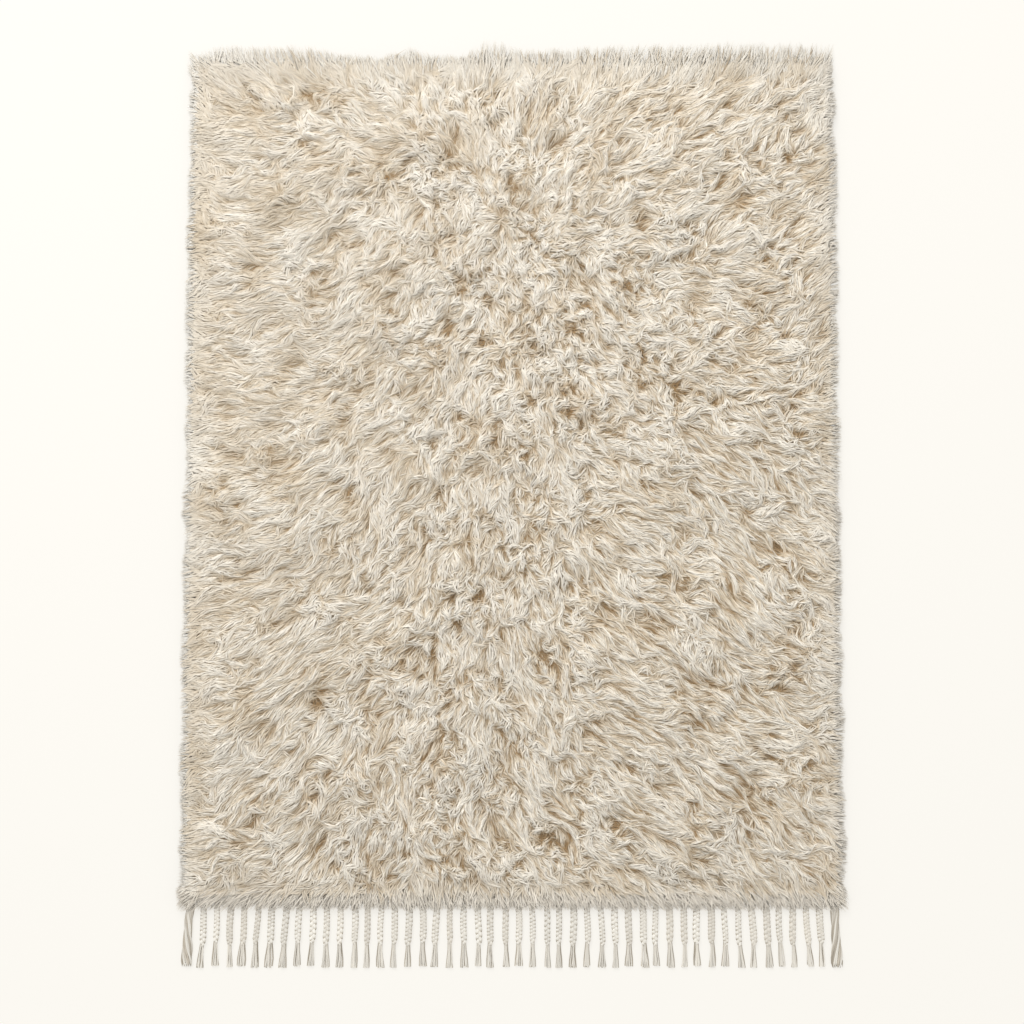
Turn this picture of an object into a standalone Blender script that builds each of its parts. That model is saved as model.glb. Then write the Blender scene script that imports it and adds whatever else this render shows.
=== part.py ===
"""A cream long-pile wool rug with a plaited fringe at one end, lying flat on the floor. Metres, +Z up.

Seen from above with the fringe nearest, +X is to the right and +Y runs towards the plain end.
The origin is on the floor, under the middle of the whole rug with its fringe.
"""

import math
import random

import bmesh
import bpy
from mathutils import Vector

# Overall sizes
RUG_WIDTH = 1.400  # over the locks at both sides
RUG_LENGTH = 1.930  # from the locks at the plain end to the fringe's tips
FRINGE_SHOWN = 0.125  # length of the cords that the pile leaves bare
CROWN = 0.034  # the pile's mean height, away from its edges
GAP = 0.0003  # between pieces that touch

# Outline of the pile: the slab, and how far its locks stand out past it
SIDE_REACH = 0.024
BACK_REACH = 0.034
FRONT_REACH = 0.030
SLAB_X = RUG_WIDTH / 2 - SIDE_REACH
SLAB_BACK = RUG_LENGTH / 2 - BACK_REACH
SLAB_FRONT = FRINGE_SHOWN + FRONT_REACH - RUG_LENGTH / 2
BACK_CORNER, FRONT_CORNER = 0.045, 0.020  # corner radii in plan
COLUMNS, ROWS = 46, 58  # cells of the lumpy top

# The slab's rim: its locks grow from a band of the wall, over a plain foot
BAND_LOW, BAND_HIGH = 0.005, 0.018  # at the sides and the plain end
FRONT_LOW, FRONT_HIGH = 0.0125, 0.024  # over the fringe, clear of its cords
FRONT_BLEND = 0.060  # along the side, from the front's heights to the side's
FOOT_INSET = 0.012  # the woven ground's edge lies this far under the pile
EDGE_ROUND = 0.035  # how soon the pile rises from its rim
LUMPS_FROM = 0.080  # lumps reach full height this far in

# Lumps of the pile, as waves across the plan
LUMPS = [
    dict(wavelength=0.460, heading=20, phase=0.10, height=0.0022),
    dict(wavelength=0.310, heading=115, phase=0.62, height=0.0021),
    dict(wavelength=0.230, heading=65, phase=0.35, height=0.0020),
    dict(wavelength=0.170, heading=160, phase=0.80, height=0.0018),
    dict(wavelength=0.130, heading=5, phase=0.27, height=0.0015),
    dict(wavelength=0.105, heading=95, phase=0.50, height=0.0014),
    dict(wavelength=0.085, heading=40, phase=0.93, height=0.0011),
    dict(wavelength=0.075, heading=140, phase=0.15, height=0.0011),
]
WARP, WARP_X, WARP_Y = 0.030, 0.37, 0.29  # bends the waves, so that they don't run straight

# Rim locks: sections from root to tip, as shares of the root's width and height
LOCK_SECTIONS = [
    dict(reach=0.55, width=0.78, height=0.75, drop=0.25),
    dict(reach=1.00, width=0.26, height=0.30, drop=1.00),
]
SIDE_DROP, FRONT_DROP = 0.0065, 0.0015  # how far a lock's tip falls below its root
LEAST_REACH, REACH_SPREAD = 0.45, 0.70  # of the full reach, which the longest locks stop at
LOCK_LEAN = 0.35  # sideways, towards the rug's nearer end

# Fringe: plaited cords fused to a narrow strip, which lies against the ground's end
CORDS = 48
STRIP_DEPTH, STRIP_HEIGHT = 0.012, 0.007
STRIP_HALF = 0.676
ROOT_SPREAD = 0.664  # the outer cords' distance from the middle, at the root
FAN = 0.012  # how far the cords spread by their tips, as a share
LEAN, SWAY, SHORTEST = 0.0035, 0.002, 0.004
CORNER_CORD = 1.45  # the two outer cords are this much wider
TOP_SHARE = 0.62  # width of a cord's top, of its foot on the floor
CORD_SECTIONS = [
    dict(along=0.10, half_width=0.0064, height=0.0090),
    dict(along=0.35, half_width=0.0070, height=0.0096),
    dict(along=0.60, half_width=0.0068, height=0.0092),
    dict(along=0.68, half_width=0.0058, height=0.0080),
    dict(along=0.84, half_width=0.0072, height=0.0080),
    dict(along=1.00, half_width=0.0082, height=0.0064),
]

LOCK_SEED, CORD_SEED = 7, 48


def smoothstep(low, high, value):
    share = min(1.0, max(0.0, (value - low) / (high - low)))
    return share * share * (3 - 2 * share)


def lump_height(x, y):
    """Height of the lumps above the pile's mean, at a point of the plan."""
    warped_x = x + WARP * math.sin(math.tau * y / WARP_X)
    warped_y = y + WARP * math.sin(math.tau * x / WARP_Y)
    total = 0.0
    for wave in LUMPS:
        heading = math.radians(wave["heading"])
        along = warped_x * math.cos(heading) + warped_y * math.sin(heading)
        total += wave["height"] * math.sin(math.tau * (along / wave["wavelength"] + wave["phase"]))
    return total


def frontness(y):
    """1 along the fringed end, falling to 0 a little way up the sides."""
    return 1 - smoothstep(0, FRONT_BLEND, y - SLAB_FRONT)


def band(y):
    """(lowest, highest) z of the band of the rim that the locks grow from."""
    front = frontness(y)
    return (
        BAND_LOW + (FRONT_LOW - BAND_LOW) * front,
        BAND_HIGH + (FRONT_HIGH - BAND_HIGH) * front,
    )


def rounded(x, y):
    """A point of the square plan, moved so that the plan's corners are round."""
    radius = BACK_CORNER if y > 0 else FRONT_CORNER
    corner_x = math.copysign(SLAB_X - radius, x)
    corner_y = SLAB_BACK - radius if y > 0 else SLAB_FRONT + radius
    over_x = abs(x) - abs(corner_x)
    over_y = (y - corner_y) * (1 if y > 0 else -1)
    if over_x <= 0 or over_y <= 0:
        return x, y
    shrink = max(over_x, over_y) / math.hypot(over_x, over_y)
    return (
        corner_x + math.copysign(over_x * shrink, x),
        corner_y + (y - corner_y) * shrink,
    )


def pile_top(x, y):
    """Height of the pile's top at a point of the plan."""
    inside = min(SLAB_X - abs(x), SLAB_BACK - y, y - SLAB_FRONT)
    rim = band(y)[1]
    rise = (CROWN - rim) * (1 - math.exp(-max(0.0, inside) / EDGE_ROUND))
    return rim + rise + lump_height(x, y) * smoothstep(0, LUMPS_FROM, inside)


def lumpy_top(bm):
    """The pile's top, as a grid with its points raised."""
    bmesh.ops.create_grid(bm, x_segments=COLUMNS, y_segments=ROWS, size=1)
    middle = (SLAB_BACK + SLAB_FRONT) / 2
    for vert in bm.verts:
        x = vert.co.x * SLAB_X
        y = middle + vert.co.y * (SLAB_BACK - SLAB_FRONT) / 2
        height = pile_top(x, y)
        vert.co = Vector((*rounded(x, y), height))


def extrude_rim(bm, rim_edges):
    """Extrudes a closed rim, and returns the new edges, points and faces."""
    new = bmesh.ops.extrude_edge_only(bm, edges=rim_edges)["geom"]
    return (
        [g for g in new if isinstance(g, bmesh.types.BMEdge) and len(g.link_faces) == 1],
        [g for g in new if isinstance(g, bmesh.types.BMVert)],
        [g for g in new if isinstance(g, bmesh.types.BMFace)],
    )


def wall_and_base(bm):
    """Closes the slab below its top, and returns the faces of the band that locks grow from."""
    rim = [edge for edge in bm.edges if edge.is_boundary]
    rim, points, band_faces = extrude_rim(bm, rim)
    for vert in points:
        vert.co.z = band(vert.co.y)[0]
    rim, points, _ = extrude_rim(bm, rim)
    middle = (SLAB_BACK + SLAB_FRONT) / 2
    for vert in points:
        vert.co.x *= 1 - FOOT_INSET / SLAB_X
        if vert.co.y > middle:
            vert.co.y -= FOOT_INSET * (vert.co.y - middle) / (SLAB_BACK - middle)
        vert.co.z = 0
    bmesh.ops.contextual_create(bm, geom=rim)
    bmesh.ops.recalc_face_normals(bm, faces=bm.faces)
    return band_faces


def lock_plan(face, chance):
    """Where one rim lock points, how far it reaches and how far its tip falls."""
    centre = face.calc_center_median()
    outward = face.normal.copy()
    outward.z = 0
    outward.normalize()
    front = frontness(centre.y)
    towards_end = Vector((0, math.copysign(abs(outward.x), centre.y), 0))
    lean = LOCK_LEAN * chance.random() * (1 - front)
    if outward.y > 0:
        full = SIDE_REACH + (BACK_REACH - SIDE_REACH) * outward.y
    else:
        full = SIDE_REACH - (FRONT_REACH - SIDE_REACH) * outward.y
    share = min(1.0, LEAST_REACH + REACH_SPREAD * chance.random())
    return dict(
        root=centre,
        outward=outward,
        travel=outward * full * share + towards_end * full * share * lean,
        drop=SIDE_DROP + (FRONT_DROP - SIDE_DROP) * front,
    )


def rim_locks(bm, band_faces):
    """Draws each face of the band out into a tapering lock. They meet at their roots alone."""
    chance = random.Random(LOCK_SEED)
    order = sorted(band_faces, key=lambda f: math.atan2(*f.calc_center_median().xy))
    for face in order:
        plan = lock_plan(face, chance)
        corners = [vert.co - plan["root"] for vert in face.verts]
        for section in LOCK_SECTIONS:
            face = bmesh.ops.extrude_discrete_faces(bm, faces=[face])["faces"][0]
            centre = plan["root"] + plan["travel"] * section["reach"]
            centre.z -= plan["drop"] * section["drop"]
            for vert, corner in zip(face.verts, corners):
                shaped = Vector((corner.x, corner.y, 0)) * section["width"]
                shaped.z = corner.z * section["height"]
                vert.co = centre + shaped


def finish_object(name, bm, material, collection):
    """Turns the bmesh into an object with a material."""
    bmesh.ops.recalc_face_normals(bm, faces=bm.faces)
    mesh = bpy.data.meshes.new(name)
    bm.to_mesh(mesh)
    bm.free()
    mesh.materials.append(material)
    obj = bpy.data.objects.new(name, mesh)
    collection.objects.link(obj)
    return obj


def pile_field(material, collection):
    """The knotted pile with its woven ground, as one lumpy slab with locks at its rim."""
    bm = bmesh.new()
    lumpy_top(bm)
    band_faces = wall_and_base(bm)
    rim_locks(bm, band_faces)
    obj = finish_object("pile_field", bm, material, collection)
    obj.data.shade_smooth()
    return obj


def cord_plans():
    """One row for each fringe cord: its root's x, how its line wanders, its length and its width."""
    chance = random.Random(CORD_SEED)
    plans = []
    for number in range(CORDS):
        root = ROOT_SPREAD * (2 * number / (CORDS - 1) - 1)
        plans.append(
            dict(
                root=root,
                lean=root * FAN + chance.uniform(-LEAN, LEAN),
                sway=chance.uniform(-SWAY, SWAY),
                short=max(0.0, chance.uniform(-SHORTEST, SHORTEST)),
                wide=CORNER_CORD if number in (0, CORDS - 1) else 1.0,
            )
        )
    return plans


def strip(bm, plans, back):
    """The fringe's heading: a bar, sliced at both sides of each cord's root."""
    front = back - STRIP_DEPTH
    made = bmesh.ops.create_cube(bm, size=1)
    for vert in made["verts"]:
        vert.co.x *= 2 * STRIP_HALF
        vert.co.y = back if vert.co.y > 0 else front
        vert.co.z = STRIP_HEIGHT if vert.co.z > 0 else 0
    root_width = CORD_SECTIONS[0]["half_width"]
    for plan in plans:
        for side in (-1, 1):
            bmesh.ops.bisect_plane(
                bm,
                geom=[*bm.verts, *bm.edges, *bm.faces],
                dist=1e-6,
                plane_co=(plan["root"] + side * root_width * plan["wide"], 0, 0),
                plane_no=(1, 0, 0),
            )
    return front


def front_face(bm, x, y):
    """The face of the heading's front that has x in its middle."""
    for face in bm.faces:
        centre = face.calc_center_median()
        if abs(centre.x - x) < 1e-4 and abs(centre.y - y) < 1e-5 and abs(face.normal.y) > 0.99:
            return face
    raise ValueError(f"no face of the heading at x = {x}")


def draw_cord(bm, face, plan, root_y):
    """Draws one cord out of the heading, flat on the floor, with a section for each row of the table."""
    length = root_y + RUG_LENGTH / 2 - plan["short"]
    for section in CORD_SECTIONS:
        along = section["along"]
        centre = plan["root"] + plan["lean"] * along + plan["sway"] * math.sin(math.pi * along)
        half = section["half_width"] * plan["wide"]
        face = bmesh.ops.extrude_discrete_faces(bm, faces=[face])["faces"][0]
        middle = face.calc_center_median()
        for vert in face.verts:
            side = 1 if vert.co.x > middle.x else -1
            top = vert.co.z > middle.z
            vert.co = Vector(
                (
                    centre + side * half * (TOP_SHARE if top else 1),
                    root_y - length * along,
                    section["height"] if top else 0,
                )
            )


def plaited_fringe(material, collection):
    """The heading strip and its cords, as one piece that lies on the floor."""
    bm = bmesh.new()
    plans = cord_plans()
    root_y = strip(bm, plans, SLAB_FRONT - GAP)
    bm.normal_update()
    for plan in plans:
        draw_cord(bm, front_face(bm, plan["root"], root_y), plan, root_y)
    return finish_object("plaited_fringe", bm, material, collection)


def wool(name, colour, roughness):
    """A plain matt wool."""
    material = bpy.data.materials.new(name)
    material.use_nodes = True
    shader = material.node_tree.nodes["Principled BSDF"]
    shader.inputs["Base Color"].default_value = (*colour, 1)
    shader.inputs["Roughness"].default_value = roughness
    shader.inputs["Metallic"].default_value = 0
    return material


def clear_scene():
    for obj in list(bpy.data.objects):
        bpy.data.objects.remove(obj)


def main():
    clear_scene()
    collection = bpy.data.collections.new("long_pile_rug")
    bpy.context.scene.collection.children.link(collection)
    pile_field(wool("pile_wool", (0.69, 0.62, 0.50), 0.95), collection)
    plaited_fringe(wool("fringe_wool", (0.72, 0.66, 0.56), 0.9), collection)


main()
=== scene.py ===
"""The looks of a long-pile wool rug with a plaited fringe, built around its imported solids."""

import math
import random

import bpy
import numpy as np
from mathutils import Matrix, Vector


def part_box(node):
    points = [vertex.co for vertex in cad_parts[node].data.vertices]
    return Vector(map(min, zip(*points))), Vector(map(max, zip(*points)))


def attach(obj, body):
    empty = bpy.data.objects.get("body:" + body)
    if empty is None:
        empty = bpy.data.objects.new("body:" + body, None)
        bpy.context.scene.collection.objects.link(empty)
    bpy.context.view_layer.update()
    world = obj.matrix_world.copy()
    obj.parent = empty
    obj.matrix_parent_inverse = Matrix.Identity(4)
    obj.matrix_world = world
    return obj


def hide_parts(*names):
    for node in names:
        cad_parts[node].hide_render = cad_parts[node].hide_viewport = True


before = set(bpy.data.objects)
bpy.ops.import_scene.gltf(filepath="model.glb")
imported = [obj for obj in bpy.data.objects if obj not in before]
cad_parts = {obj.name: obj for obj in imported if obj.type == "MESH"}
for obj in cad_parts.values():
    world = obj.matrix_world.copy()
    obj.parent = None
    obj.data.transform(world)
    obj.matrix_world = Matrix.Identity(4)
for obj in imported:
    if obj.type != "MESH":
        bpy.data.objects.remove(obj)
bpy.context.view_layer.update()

PILE_LOW, PILE_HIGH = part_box("pile_field")
FRINGE_LOW, FRINGE_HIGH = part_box("plaited_fringe")

# Outline of the pile, from its solid
HALF_WIDTH = PILE_HIGH.x
BACK_END, FRONT_END = PILE_HIGH.y, PILE_LOW.y

# Height of the pile, as in the solids. LUMPS: wavelength, heading (degrees), phase and height
CROWN = 0.034
SIDE_RIM, FRONT_RIM = 0.006, 0.0165
EDGE_ROUND = 0.030
LUMPS_FROM = 0.100
LUMPS = [
    (0.460, 20, 0.10, 0.0022),
    (0.310, 115, 0.62, 0.0021),
    (0.230, 65, 0.35, 0.0020),
    (0.170, 160, 0.80, 0.0018),
    (0.130, 5, 0.27, 0.0015),
    (0.105, 95, 0.50, 0.0014),
    (0.085, 40, 0.93, 0.0011),
    (0.075, 140, 0.15, 0.0011),
]
WARP, WARP_X, WARP_Y = 0.030, 0.37, 0.29

# Single hollows and crests in the pile: x, y and height of each
SPOT_SIZE = 0.024
SPOTS = [
    (0.588, 0.211, -0.0074), (0.208, -0.379, -0.0062), (0.279, 0.303, -0.0062),
    (0.019, -0.013, -0.0060), (0.468, -0.588, -0.0059), (-0.172, 0.714, -0.0057),
    (-0.147, -0.211, -0.0056), (0.546, 0.164, -0.0055), (-0.017, -0.696, -0.0052),
    (0.376, -0.034, -0.0051), (-0.353, -0.179, -0.0050), (-0.136, 0.045, -0.0050),
    (0.063, -0.381, -0.0050), (0.283, 0.616, -0.0050), (0.162, 0.288, -0.0048),
    (0.149, 0.454, -0.0048), (0.351, -0.390, -0.0047), (-0.128, 0.371, -0.0046),
    (0.395, 0.426, -0.0045), (-0.296, -0.132, -0.0045), (-0.407, 0.232, -0.0044),
    (0.302, -0.594, -0.0043), (0.353, -0.777, -0.0043), (-0.298, -0.385, -0.0042),
    (-0.382, -0.771, -0.0038), (-0.317, 0.548, -0.0036), (-0.233, 0.590, 0.0043),
    (-0.195, -0.264, 0.0042), (0.479, -0.226, 0.0042), (0.405, 0.373, 0.0041),
    (-0.197, -0.388, 0.0040), (-0.636, 0.584, 0.0039), (-0.124, 0.432, 0.0039),
    (0.430, -0.336, 0.0038), (-0.399, -0.498, 0.0036), (0.212, -0.441, 0.0036),
    (0.092, 0.073, 0.0034), (-0.275, 0.396, 0.0034), (0.283, 0.724, 0.0032),
    (-0.619, 0.156, 0.0030), (0.216, 0.041, 0.0030), (0.582, 0.311, 0.0030),
]

# How the pile is combed. FLOW: y, headings (degrees, 90 to the back) and jumble at each of FLOW_X
FLOW_X = (-0.643, -0.420, -0.197, 0.025, 0.248, 0.470, 0.647)
FLOW = [
    (-0.784, (190, 215, 285, 290, 320, 315, 322), (15, 35, 55, 55, 40, 25, 15)),
    (-0.671, (191, 226, 262, 305, 326, 320, 330), (12, 30, 70, 60, 20, 25, 15)),
    (-0.445, (199, 226, 235, 300, 343, 338, 0), (12, 25, 60, 55, 12, 12, 30)),
    (-0.219, (194, 214, 225, 290, 337, 320, 350), (12, 15, 55, 65, 20, 20, 35)),
    (0.006, (190, 207, 245, 275, 337, 324, 333), (20, 20, 45, 75, 25, 25, 40)),
    (0.232, (176, 192, 219, 250, 335, 348, 20), (10, 15, 50, 80, 75, 40, 30)),
    (0.458, (183, 195, 231, 270, 350, 6, 35), (15, 30, 60, 90, 70, 30, 25)),
    (0.682, (178, 200, 215, 70, 28, 28, 48), (10, 30, 60, 80, 40, 30, 30)),
    (0.910, (150, 142, 100, 75, 52, 42, 55), (10, 35, 60, 45, 12, 10, 25)),
]

# Woven ground that carries the pile, and its gap to the floor
GROUND_INSET = 0.030
GROUND_HALF = HALF_WIDTH - GROUND_INSET
GROUND_BACK, GROUND_FRONT = 0.929, -0.8085
GROUND_LENGTH = GROUND_BACK - GROUND_FRONT
GROUND_TOP = 0.004
GROUND_COLUMNS, GROUND_ROWS = 40, 52
FLOOR_GAP = 0.0004

# Tufts of the pile, broad ones and small ones on them, laid over each other like thatch.
# turn is how far (radians) a tuft strays from the combing, wild how much more where jumbled,
# raised how much higher it stands there, and below how far under the bed one still shows
PILE_SEED = 11
ROOT_JITTER = 0.45
BED = 0.0055
HIGHEST, ABOVE_SHARE = 0.042, 0.35
BROAD_TUFTS = dict(
    spacing=0.050, reach=0.095, width=0.056, crest=0.0023, lift=0.0010,
    turn=0.25, wild=0.70, raised=0.5, dome=0.05, below=0.003,
)
SMALL_TUFTS = dict(
    spacing=0.0175, reach=0.044, width=0.018, crest=0.0008, lift=0.0005,
    turn=0.10, wild=0.85, raised=1.8, dome=0.16, below=0.002,
)

# Swirls of the combing: size, and turn (radians) where calm and where jumbled
SWIRLS = [(0.018, 0.11, 0.25), (0.0055, 0.14, 0.40)]

# Crinkled spots: size, turn of the strands and how much darker they are
CRINKLES = dict(size=0.0085, rough=0.0045, turn=1.6, dark=0.34)

# Ridges drawn out along the combing: width, length and height of each
STREAKS = [(0.0042, 0.056, 0.0007), (0.0019, 0.030, 0.0008)]

# How far the pile's back edge reaches past its mean line, from left to right
BACK_X = (
    -0.68, -0.60, -0.44, -0.36, -0.29, -0.22, -0.17, -0.10,
    -0.06, -0.03, 0.01, 0.12, 0.30, 0.50, 0.66,
)
BACK_REACH = (
    0.008, 0.025, 0.020, 0.004, -0.006, 0.018, 0.002, -0.004,
    0.038, 0.038, 0.014, 0.017, 0.026, 0.030, 0.026,
)

# How far it reaches past the front edge, over the cords
FRONT_REACH = 0.012

# How far short of these lines strands end, by what makes the edge uneven
SHORT = dict(
    side=dict(always=0.001, swell=0.009, bumps=0.005, ragged=0.004),
    back=dict(bumps=0.010, ragged=0.008),
    front=dict(between=0.004, bumps=0.003, ragged=0.003),
)

# Strands of the pile. ROLL and STRAY are spreads, in radians
STRAND_SPACING = 0.00437
STRAND_WIDTH, STRAND_THICK = 0.0029, 0.9
STRAND_LOWEST = 0.0022
ROLL, STRAY = 0.20, 0.08

# Bent and plain strands. SUNK: how deep each station lies
BENT_SHARE = 0.20
BENT_REACH, PLAIN_REACH = 0.046, 0.028
BENT_SUNK, PLAIN_SUNK = (0.0035, 0.0, 0.0, 0.0020), (0.0030, -0.0003, 0.0020)
BENT_PIECES, PLAIN_PIECES = 2, 3

# Keel below a plain strand, and how low its ends may go
KEEL_DEPTH, KEEL_LOWEST = 0.0014, 0.0006

# How far the normals of strands follow the pile's slopes
SOFTNESS = 0.64
LEAN_RADIUS, LEAN_SHARE = 0.0026, 1.1

# Strands of the outermost knots
RIM_STRANDS = 15000
RIM_REACH, RIM_DEEP = 0.054, 0.022
RIM_SUNK = (0.011, 0.001, 0.001)

# Range of tones and shades
LEAST, MOST = 0.03, 0.97

# What makes up shade and tone, of lying and of rim strands. spread: from strand to strand, along:
# from root to tip, back, side, left, right and front: near that edge. Much of the shade is painted
# shade: local and fine make crests lighter and grooves darker, layer makes lower strands darker,
# hollow darkens hollows, and along darkens roots, which is painted shade and the wool's tanner
# roots together. Near the back the tone is painted darker, and at the rim the left edge is painted
# lighter and the right edge darker, as light falling from the left would make them
SHADE = dict(
    mean=0.62, local=0.145, fine=0.12, along=0.12, layer=0.05, hollow=-0.17,
    jumble=0.07, back=0.05, side=0.07, patches=0.072, broad=-0.015,
)
TONE = dict(spread=0.13, back=-0.30, side=-0.09, broad=0.02)
RIM_SHADE = dict(mean=0.50, layer=0.18, along=0.14, spread=0.03, back=0.04, left=0.17, front=-0.06)
RIM_TONE = dict(spread=0.07, front=0.15, right=-0.15)

# Tone across a strand: what all have, and the spread of the painted shadow that a strand's
# neighbours cast on one edge of it
FIBRE_SPREAD, NEIGHBOUR_SHADOW = 0.05, 0.17
FIBRE_SCALE = (100, 24, 0)

# Relief grid, and the undercoat below the strands
RELIEF_CELL = 0.0025
UNDER_CELL = 0.0125
UNDER_DEPTH = 0.0006
UNDER_LOWEST, UNDER_BORDER = 0.005, 0.0042

# Cords of the fringe, as in the solids
CORDS = 48
FRINGE_ROOT = GROUND_FRONT - 0.0138
FRINGE_END = FRINGE_LOW.y
ROOT_SPREAD = 0.664
CORD_PITCH = 2 * ROOT_SPREAD / (CORDS - 1)
FAN, LEAN, SWAY, SHORTEST = 0.012, 0.0035, 0.002, 0.004
CORD_SEED = 48

# Plaits and the loose yarns below them
PLAIT_END = 0.68
PLAIT_PITCH = 0.0255
PLAIT_SWING, PLAIT_LIFT = 0.0036, 0.0019
PLAIT_YARN = 0.0074
PLAIT_STEPS = 27
TUFT_YARNS = 9
TUFT_YARN = 0.0029
TUFT_SPREAD = 0.0068
CORNER_YARNS = 19
CORNER_YARN = 0.0044
CORNER_WIDE, CORNER_TALL, CORNER_MIDDLE = 0.0084, 0.0036, 0.0062
CORD_THICK, CORD_SOFTNESS = 0.85, 0.15
YARN_HALF = 0.42

# Woven rows at the roots of the cords
HEADING_COLUMNS, HEADING_SIDES = 240, 10
HEADING_INSET = 0.011
HEADING_WIDE, HEADING_TALL, HEADING_MIDDLE = 0.0058, 0.0036, 0.006

# Wools: colours of hollow, middle and tip, and the brightness of the darkest and lightest tone. The
# shade picks the colour, so the hollow end carries painted shade along with the wool's tanner roots
WOOLS = dict(
    pile_wool=((0.36, 0.235, 0.115), (0.70, 0.597, 0.455), (0.885, 0.828, 0.728), 0.72, 1.23),
    fringe_wool=((0.22, 0.180, 0.125), (0.57, 0.515, 0.430), (0.92, 0.89, 0.82), 0.80, 1.10),
    rim_wool=((0.33, 0.240, 0.145), (0.70, 0.616, 0.497), (0.885, 0.846, 0.768), 0.84, 1.10),
)


def smoothstep(low, high, value):
    """0 up to low, 1 from high, and eased between."""
    share = np.clip((value - low) / (high - low), 0, 1)
    return share * share * (3 - 2 * share)


def in_range(value):
    """Tones or shades, kept within their range."""
    return np.clip(value, LEAST, MOST)


def lump_height(x, y):
    """Broad waves of the pile and its single hollows and crests."""
    warped_x = x + WARP * np.sin(math.tau * y / WARP_X)
    warped_y = y + WARP * np.sin(math.tau * x / WARP_Y)
    total = np.zeros_like(x)
    for wavelength, degrees, phase, height in LUMPS:
        heading = math.radians(degrees)
        along = warped_x * math.cos(heading) + warped_y * math.sin(heading)
        total += height * np.sin(math.tau * (along / wavelength + phase))
    for spot_x, spot_y, height in SPOTS:
        distance = ((x - spot_x) ** 2 + (y - spot_y) ** 2) / SPOT_SIZE**2
        total += height * np.exp(-distance / 2)
    return total


def inside(x, y):
    """How far inside the pile's outline a point is, with the back corners rounded."""
    side = HALF_WIDTH - np.abs(x)
    back = BACK_END - y
    radius = 0.05
    corner = radius - np.hypot(np.maximum(0, radius - side), np.maximum(0, radius - back))
    flat = np.minimum(side, back)
    rounded = np.where((side < radius) & (back < radius), corner, flat)
    return np.minimum(rounded, y - FRONT_END)


def pile_top(x, y):
    """Height of the pile over a point of the plan."""
    depth = np.maximum(0, inside(x, y))
    front = 1 - smoothstep(0.0, 0.06, y - FRONT_END)
    rim = SIDE_RIM + (FRONT_RIM - SIDE_RIM) * front
    rise = (CROWN - rim) * (1 - np.exp(-depth / EDGE_ROUND))
    return rim + rise + lump_height(x, y) * smoothstep(0, LUMPS_FROM, depth)


def wave_noise(x, y, wavelength, seed, count=9):
    """Smooth noise of unit spread, a sum of waves."""
    chance = np.random.default_rng(seed)
    total = np.zeros_like(x)
    for _ in range(count):
        heading = chance.uniform(0, math.tau)
        wave = wavelength * chance.uniform(0.7, 1.5)
        phase = chance.uniform(0, math.tau)
        total += np.sin(math.tau * (x * math.cos(heading) + y * math.sin(heading)) / wave + phase)
    return total / math.sqrt(count / 2)


def liveliness(x, y):
    """How much the strands differ: least at the rim and towards the back left."""
    rim = 1 - smoothstep(0.0, 0.10, inside(x, y))
    far = smoothstep(-0.6, 1.0, (y / BACK_END - x / HALF_WIDTH) / 2)
    return 1.45 - 0.70 * rim - 0.70 * far


def knot_shares(value, knots):
    """Share of each knot in the blend between knots, a row for each value."""
    return np.stack([np.interp(value, knots, row) for row in np.eye(len(knots))], 1)


def comb(x, y):
    """Heading (radians) in which the pile lies at a point, and how jumbled it is, 0 to 1."""
    ys, degrees, jumble = zip(*FLOW)
    rows, columns = knot_shares(y, ys), knot_shares(x, FLOW_X)
    headings, jumble = np.radians(degrees), np.array(jumble) / 100
    tables = (np.cos(headings), np.sin(headings), jumble)
    east, north, jumbled = (np.einsum("nj,ji,ni->n", rows, table, columns) for table in tables)
    side = HALF_WIDTH - np.abs(x) < np.minimum(BACK_END - y, y - FRONT_END)
    back = ~side & (y > 0)
    # Near the edges the pile turns outwards
    most, depth = np.where(back, 0.70, 0.45), np.where(back, 0.13, 0.08)
    rim = most * (1 - smoothstep(0.015, depth, inside(x, y)))
    east = east * (1 - rim) + rim * np.where(side, np.sign(x), 0)
    north = north * (1 - rim) + rim * np.where(side, 0, np.sign(y))
    for wavelength, seed in ((0.16, 6), (0.07, 7)):
        jumbled = jumbled + 0.20 * wave_noise(x, y, wavelength, seed)
    return np.arctan2(north, east), np.clip(jumbled, 0, 1) * (1 - rim)


def root_points(spacing, chance):
    """Roots on a jittered hexagonal grid over the woven ground."""
    rows = []
    row_step = spacing * math.sqrt(3) / 2
    for number in range(int(GROUND_LENGTH / row_step) + 1):
        y = GROUND_FRONT + number * row_step
        xs = np.arange(-GROUND_HALF + (number % 2) * spacing / 2, GROUND_HALF, spacing)
        rows.append(np.stack([xs, np.full_like(xs, y)], 1))
    points = np.concatenate(rows)
    points += chance.uniform(-ROOT_JITTER, ROOT_JITTER, points.shape) * spacing
    points[:, 0] = np.clip(points[:, 0], -GROUND_HALF, GROUND_HALF)
    points[:, 1] = np.clip(points[:, 1], GROUND_FRONT, GROUND_BACK)
    return points


def scattered_tufts(kind, chance):
    """Tufts of one kind: root, heading, reach, width, lift, crest and curl of each."""
    centre = root_points(kind["spacing"], chance)
    count = len(centre)
    heading, jumble = comb(*centre.T)
    size = np.clip(np.exp(chance.normal(0, 0.35, count)), 0.5, 1.9)
    depth = smoothstep(0.0, 0.09, inside(*centre.T))
    raised = (1 + kind["raised"] * jumble) * depth
    return dict(
        centre=centre,
        heading=heading + chance.normal(0, 1, count) * (kind["turn"] + kind["wild"] * jumble),
        reach=kind["reach"] * size**0.5 * (1 - 0.40 * jumble),
        half=kind["width"] / 2 * size,
        lift=chance.normal(0, kind["lift"], count) * raised,
        crest=kind["crest"] * chance.uniform(0.5, 1.4, count) * raised,
        curl=chance.normal(0, 0.13 + 0.20 * jumble, count),
        dome=kind["dome"] * depth,
    )


def tuft_profile(along):
    """Half width along a tuft, as a share of its widest."""
    return 0.50 + 0.50 * (1 - np.clip((along - 0.30) / 0.80, 0, 1) ** 1.6)


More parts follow.
